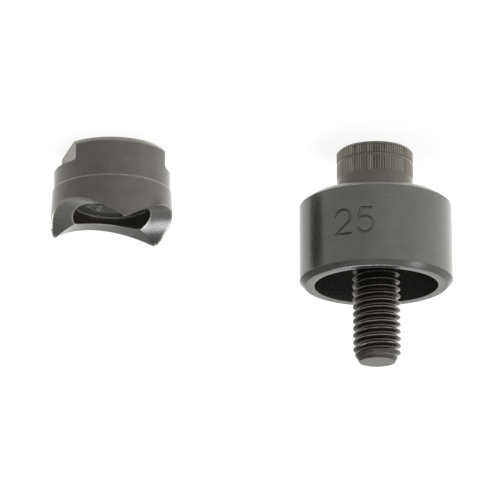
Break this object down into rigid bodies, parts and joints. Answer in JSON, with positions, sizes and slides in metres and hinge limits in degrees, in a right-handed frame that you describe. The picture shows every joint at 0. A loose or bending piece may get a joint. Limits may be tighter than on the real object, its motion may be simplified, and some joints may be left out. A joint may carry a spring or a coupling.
{
  "type": "sheet metal hole punch",
  "caption": "Screw-drawn knockout punch for round holes in sheet metal: cup die on its socket-head draw screw, and a three-point punch with wrench flats standing beside it.",
  "frame": {"origin": "on the draw screw's axis, at the face of its head that the key enters, which stands on the bench", "axes": "+Z from the screw's head up to its tip, along the screw's and the die's axis; +X from the screw's axis towards the side where the punch stands"},
  "size_m": [0.0824, 0.0312, 0.045],
  "materials": {
    "die_steel": "turned and black oxide finished, satin",
    "screw_steel": "black oxide finished, oiled, thread darker than the head",
    "punch_steel": "turned, ground at the crown, black oxide finished, satin"
  },
  "bodies": {
    "die": {"die": "die_steel"},
    "draw_screw": {"draw_screw": "screw_steel"},
    "punch": {"punch": "punch_steel"}
  },
  "joints": [
    {"name": "screw_turn", "type": "hinge", "parent": "die", "child": "draw_screw", "pos_m": [0, 0, 0.0142], "axis": [0, 0, 1], "continuous": true},
    {"name": "punch_lift", "type": "slide", "parent": "die", "child": "punch", "axis": [0, 0, 1], "range_m": [0, 0.05]}
  ]
}
